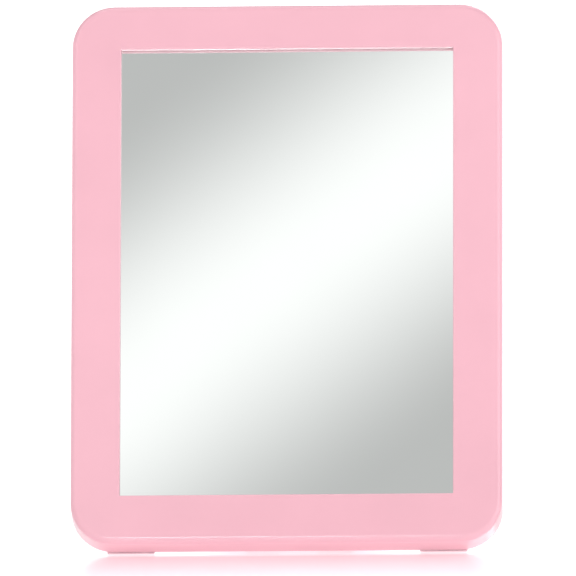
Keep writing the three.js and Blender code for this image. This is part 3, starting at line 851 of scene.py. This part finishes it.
class HANDMIRROR_OT_glass(bpy.types.Operator):
    """Add the mirror glass with its ground edge"""

    bl_idname = "hand_mirror.glass"
    bl_label = "Mirror glass"

    def execute(self, context):
        """A rounded rectangle drawn in to a pole on both faces, with a narrow ground arris round each rim."""
        panel = settings().panel
        side = panel.width / 2 - panel.border_side + panel.glass_overlap
        low = panel.border_bottom - panel.glass_overlap
        high = panel.height - panel.border_top + panel.glass_overlap
        outline = rounded_outline(-side, side, low, high, panel.glass_corner)
        front = panel.wall + GAP
        back = front + panel.glass_thickness
        arris = panel.arris
        rows = [
            (1, 0, front), (0.5, 0, front), (0, -2 * arris, front), (0, -arris, front),
            (0, 0, front + arris), (0, 0, back - arris),
            (0, -arris, back), (0, -2 * arris, back), (0.5, 0, back), (1, 0, back),
        ]
        points = disc_points(outline, np.array(rows), panel_axes(panel))
        faces = grid_faces(len(outline[0]), len(rows), True, False)
        piece = merged(surface_object("mirror_pane", points, faces))
        piece.data.set_sharp_from_angle(angle=SHARP)
        place(piece, "mirror", "silvered_glass", silvered_glass(settings().colours), "mirror_glass")
        return {"FINISHED"}


class HANDMIRROR_OT_backing(bpy.types.Operator):
    """Finish the board behind the glass"""

    bl_idname = "hand_mirror.backing"
    bl_label = "Backing board"

    def execute(self, context):
        """The board is flat, so the CAD solid stays and only takes its finish."""
        board = frame["nodes"]["backing_board"]
        board.data.materials.clear()
        board.data.materials.append(pressed_greyboard())
        return {"FINISHED"}


class HANDMIRROR_OT_rear_cover(bpy.types.Operator):
    """Add the rear cover and the caps over its hinge pin"""

    bl_idname = "hand_mirror.rear_cover"
    bl_label = "Rear cover"

    def execute(self, context):
        """Copies of the CAD solids with their edges rounded."""
        material = satin_abs(settings().colours)
        cover = softened_copy("rear_cover", 0.25 * MM)
        place(cover, "mirror", "satin_pink_abs", material, "rear_cover")
        for side in ("left", "right"):
            cap = softened_copy("pin_cap_" + side, 0.2 * MM)
            place(cap, "mirror", "satin_pink_abs", material, "pin_cap_" + side)
        return {"FINISHED"}


class HANDMIRROR_OT_handle(bpy.types.Operator):
    """Add the loop handle and its hinge barrel"""

    bl_idname = "hand_mirror.handle"
    bl_label = "Handle"

    def execute(self, context):
        """The loop is a rounded bar section carried round between two outlines.

        The barrel is a rounded tube wall turned about the hinge axis.
        """
        handle = settings().handle
        axes = handle_axes(handle)
        half, grip = handle.width / 2, handle.grip_width / 2
        corners = [handle.root_corner, handle.corner, handle.corner, handle.root_corner]
        outer = rounded_outline(
            -half, half, handle.root_start, handle.length, corners, arc_steps=20)
        inner = rounded_outline(
            -grip, grip, handle.grip_start, handle.grip_end, handle.grip_corner, arc_steps=20)
        low, high, edge = handle.inner_face, handle.outer_face, handle.rounding
        profile = np.concatenate([
            profile_part(0, [(-edge - HOLD, high)]),
            profile_part(0, arc((-edge, high - edge), edge, 90, 0, 8)),
            profile_part(0, arc((-edge, low + edge), edge, 0, -90, 8)),
            profile_part(0, [(-edge - HOLD, low)]),
            profile_part(1, [(edge + HOLD, low)]),
            profile_part(1, arc((edge, low + edge), edge, 270, 180, 8)),
            profile_part(1, arc((edge, high - edge), edge, 180, 90, 8)),
            profile_part(1, [(edge + HOLD, high)]),
        ])
        points = ring_points(outer, inner, profile, axes)
        faces = grid_faces(len(outer[0]), len(profile), True, True)
        material = polished_abs(settings().colours)
        loop = surface_object("moulded_loop", points, faces)
        place(loop, "handle", "gloss_pink_abs", material, "handle_loop")
        barrel = self.barrel(handle, axes)
        place(barrel, "handle", "gloss_pink_abs", material)
        return {"FINISHED"}

    def barrel(self, handle, axes):
        """Rows of (x, radius) round a tube wall's section, turned to x, radius * cos a, radius * sin a.

        Between the shoulders, the quarter that faces in and along is squared off to the lesser of
        level / |cos a| and depth / |sin a|, so that it runs level into the loop's inner face.
        """
        origin, across, outward, along = axes
        low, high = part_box("handle_loop")
        half = (high.x - low.x) / 2
        radius, bore, edge = handle.barrel_radius, handle.bore_radius, handle.barrel_rounding
        shoulder = handle.width / 2 - handle.rounding
        section = np.concatenate([
            arc((half - edge, radius - edge), edge, 0, 90, 5),
            [(shoulder + 2 * HOLD, radius), (shoulder, radius)],
            [(-shoulder, radius), (-shoulder - 2 * HOLD, radius)],
            arc((edge - half, radius - edge), edge, 90, 180, 5),
            [(-half, bore), (half, bore)],
        ])
        turns = 64
        angle = np.linspace(0, 2 * np.pi, turns, endpoint=False)[:, None, None]
        x, reach = section[None, :, :1], section[None, :, 1:]
        cosine, sine = np.cos(angle), np.sin(angle)
        # The squared quarter lies a hair under the loop's face, and its depth ends inside the loop.
        level, depth = radius - HOLD / 6, radius + 2 * HOLD
        tiny = 0.01
        squared = np.minimum(level / np.maximum(-cosine, tiny), depth / np.maximum(sine, tiny))
        quarter = (cosine < -tiny) & (sine > tiny)
        outside = (np.abs(x) < shoulder + HOLD) & (reach > bore + edge)
        reach = np.where(quarter & outside, squared, reach)
        points = origin + x * across + reach * (cosine * outward + sine * along)
        faces = grid_faces(turns, len(section), True, True)
        piece = surface_object("handle_barrel", points.reshape(-1, 3), faces)
        piece.data.set_sharp_from_angle(angle=SHARP)
        return piece


class HANDMIRROR_OT_rubber(bpy.types.Operator):
    """Add the rubber feet and the pads under the handle's tip"""

    bl_idname = "hand_mirror.rubber"
    bl_label = "Feet and pads"

    def execute(self, context):
        """Copies of the CAD solids with their edges rounded."""
        material = moulded_rubber(settings().colours)
        for stem, body in (("rubber_foot_", "mirror"), ("handle_pad_", "handle")):
            for side in ("left", "right"):
                piece = softened_copy(stem + side, 0.4 * MM, steps=3)
                place(piece, body, "rubber", material, stem + side)
        return {"FINISHED"}


class HANDMIRROR_OT_hardware(bpy.types.Operator):
    """Add the screws, the hinge pin, its washers and the detent spring"""

    bl_idname = "hand_mirror.hardware"
    bl_label = "Screws and hinge"

    def execute(self, context):
        """Copies of the CAD solids with their edges rounded."""
        zinc = zinc_plated_steel()
        screws = [name for name in frame["nodes"] if "screw" in name]
        for name in sorted(screws):
            place(softened_copy(name, 0.08 * MM), "mirror", "zinc_steel", zinc, name)
        place(softened_copy("hinge_pin", 0.2 * MM), "mirror", "zinc_steel", zinc, "hinge_pin")
        nylon = natural_nylon()
        for side in ("left", "right"):
            name = "friction_washer_" + side
            place(softened_copy(name, 0.1 * MM), "mirror", "nylon", nylon, name)
        spring = softened_copy("detent_spring", 0.08 * MM)
        place(spring, "mirror", "spring_steel", spring_strip(), "detent_spring")
        return {"FINISHED"}


class HANDMIRROR_OT_studio(bpy.types.Operator):
    """Add the floor, the lights, the card that the glass reflects, and the camera"""

    bl_idname = "hand_mirror.studio"
    bl_label = "Studio"

    def execute(self, context):
        """The light table, the room and its softboxes, then the camera, then the card that it places."""
        studio, panel = settings().studio, settings().panel
        context.scene.view_settings.view_transform = "Standard"
        self.add_floor(studio)
        self.add_world(context.scene, studio)
        self.add_lights()
        camera = self.add_camera(context.scene, studio, panel)
        self.add_card(camera, studio, panel)
        return {"FINISHED"}

    def add_floor(self, studio):
        """A level square at height zero."""
        edges = np.array([-0.5, 0.5]) * studio.floor_side
        x, y = np.meshgrid(edges, edges, indexing="ij")
        points = np.stack([x, y, np.zeros_like(x)], axis=2).reshape(-1, 3)
        mesh = bpy.data.meshes.new("studio_floor")
        mesh.from_pydata(points.tolist(), [], [(0, 2, 3, 1)])
        floor = bpy.data.objects.new("studio_floor", mesh)
        floor.data.materials.append(backlit_acrylic(studio))
        bpy.context.scene.collection.objects.link(floor)

    def add_world(self, scene, studio):
        """A white room: full at the level, and softer overhead by a smooth step of the height looked at."""
        level_height, overhead_height = 0.15, 0.6
        world = bpy.data.worlds.new("White room")
        scene.world = world
        world.use_nodes = True
        tree = world.node_tree
        tree.nodes.clear()
        direction = add_node(tree, "ShaderNodeTexCoord").outputs["Generated"]
        height = add_node(tree, "ShaderNodeSeparateXYZ", links={"Vector": direction}).outputs["Z"]
        strength = add_node(
            tree, "ShaderNodeMapRange", settings=SMOOTH,
            values={
                "From Min": level_height, "From Max": overhead_height,
                "To Min": studio.room_level, "To Max": studio.room_overhead},
            links={"Value": height})
        background = add_node(
            tree, "ShaderNodeBackground", values={"Color": WHITE}, links={"Strength": strength})
        add_node(tree, "ShaderNodeOutputWorld", links={"Surface": background})

    def add_lights(self):
        """Softboxes: key at the front left, fill at the right, small one low in front, top and rear."""
        for name, (spot, size, power) in SOFTBOXES.items():
            light = bpy.data.lights.new(name, "AREA")
            light.shape = "RECTANGLE"
            light.size, light.size_y = size
            light.energy = power
            lamp = bpy.data.objects.new(name, light)
            lamp.location = spot
            aim = Vector(SOFTBOX_AIM) - Vector(spot)
            lamp.rotation_euler = aim.to_track_quat("-Z", "Y").to_euler()
            bpy.context.scene.collection.objects.link(lamp)

    def add_camera(self, scene, studio, panel):
        """A long lens looking level at the panel, with its axis through the panel's middle."""
        origin, across, back, up = panel_axes(panel)
        middle = Vector(origin + panel.depth / 2 * back + panel.height / 2 * up)
        level = math.cos(studio.elevation)
        outward = Vector((
            math.sin(studio.azimuth) * level, -math.cos(studio.azimuth) * level, math.sin(studio.elevation)))
        turn = (-outward).to_track_quat("-Z", "Y").to_matrix()
        turn = turn @ Matrix.Rotation(-studio.roll, 3, "Z")
        data = bpy.data.cameras.new("long_lens")
        data.lens = data.sensor_width * studio.distance / studio.picture_width
        data.clip_start, data.clip_end = 0.1, 60
        camera = bpy.data.objects.new("long_lens", data)
        aim = middle + studio.side_view * turn.col[0] + studio.raise_view * turn.col[1]
        camera.matrix_world = Matrix.Translation(aim + outward * studio.distance) @ turn.to_4x4()
        scene.collection.objects.link(camera)
        scene.camera = camera
        return camera

    def add_card(self, camera, studio, panel):
        """A square card where the glass sends the camera's axis, with its own axes the mirrored camera's."""
        origin, across, back, up = panel_axes(panel)
        normal = Vector(-back)
        spot = Vector(origin + (panel.wall + GAP) * back + panel.height / 2 * up)
        turn = camera.matrix_world.to_3x3()
        right, above, outward = (
            axis - 2 * axis.dot(normal) * normal for axis in (turn.col[0], turn.col[1], -turn.col[2]))
        centre = spot + outward * studio.card_distance
        half = studio.card_size / 2
        corners = np.array([(-half, -half), (half, -half), (half, half), (-half, half)])
        points = np.array(centre) + corners[:, :1] * np.array(right) + corners[:, 1:] * np.array(above)
        mesh = bpy.data.meshes.new("diffuser_card")
        mesh.from_pydata(points.tolist(), [], [(0, 1, 2, 3)])
        layer = mesh.uv_layers.new(name="card")
        layer.data.foreach_set("uv", corners.ravel())
        card = bpy.data.objects.new("diffuser_card", mesh)
        card.data.materials.append(diffuser_card(studio))
        card.visible_camera = False
        bpy.context.scene.collection.objects.link(card)


class HANDMIRROR_PT_panel(bpy.types.Panel):
    """The hand mirror's settings and buttons"""

    bl_idname = "HANDMIRROR_PT_panel"
    bl_label = "Hand Mirror"
    bl_space_type = "VIEW_3D"
    bl_region_type = "UI"
    bl_category = "Hand Mirror"

    def draw(self, context):
        """A box of settings for each group, and a button for each operator."""
        for group in ("panel", "handle", "studio", "colours"):
            box = self.layout.box()
            values = getattr(context.scene.hand_mirror, group)
            for name in values.__annotations__:
                box.prop(values, name)
        for operator in OPERATORS:
            self.layout.operator(operator.bl_idname)


GROUPS = (PanelSettings, HandleSettings, StudioSettings, ColourSettings, HandMirrorSettings)
OPERATORS = (
    HANDMIRROR_OT_studio,
    HANDMIRROR_OT_front_frame,
    HANDMIRROR_OT_glass,
    HANDMIRROR_OT_backing,
    HANDMIRROR_OT_rear_cover,
    HANDMIRROR_OT_handle,
    HANDMIRROR_OT_rubber,
    HANDMIRROR_OT_hardware,
)


def register():
    """Makes the classes and the scene's settings known."""
    for item in (*GROUPS, *OPERATORS, HANDMIRROR_PT_panel):
        bpy.utils.register_class(item)
    bpy.types.Scene.hand_mirror = bpy.props.PointerProperty(type=HandMirrorSettings)


def unregister():
    """Takes back what register made known, in the reverse order."""
    del bpy.types.Scene.hand_mirror
    for item in reversed((*GROUPS, *OPERATORS, HANDMIRROR_PT_panel)):
        bpy.utils.unregister_class(item)


def main():
    """Builds everything."""
    register()
    bpy.ops.hand_mirror.studio()
    bpy.ops.hand_mirror.front_frame()
    bpy.ops.hand_mirror.glass()
    bpy.ops.hand_mirror.backing()
    bpy.ops.hand_mirror.rear_cover()
    bpy.ops.hand_mirror.handle()
    bpy.ops.hand_mirror.rubber()
    bpy.ops.hand_mirror.hardware()


if __name__ == "__main__":
    main()
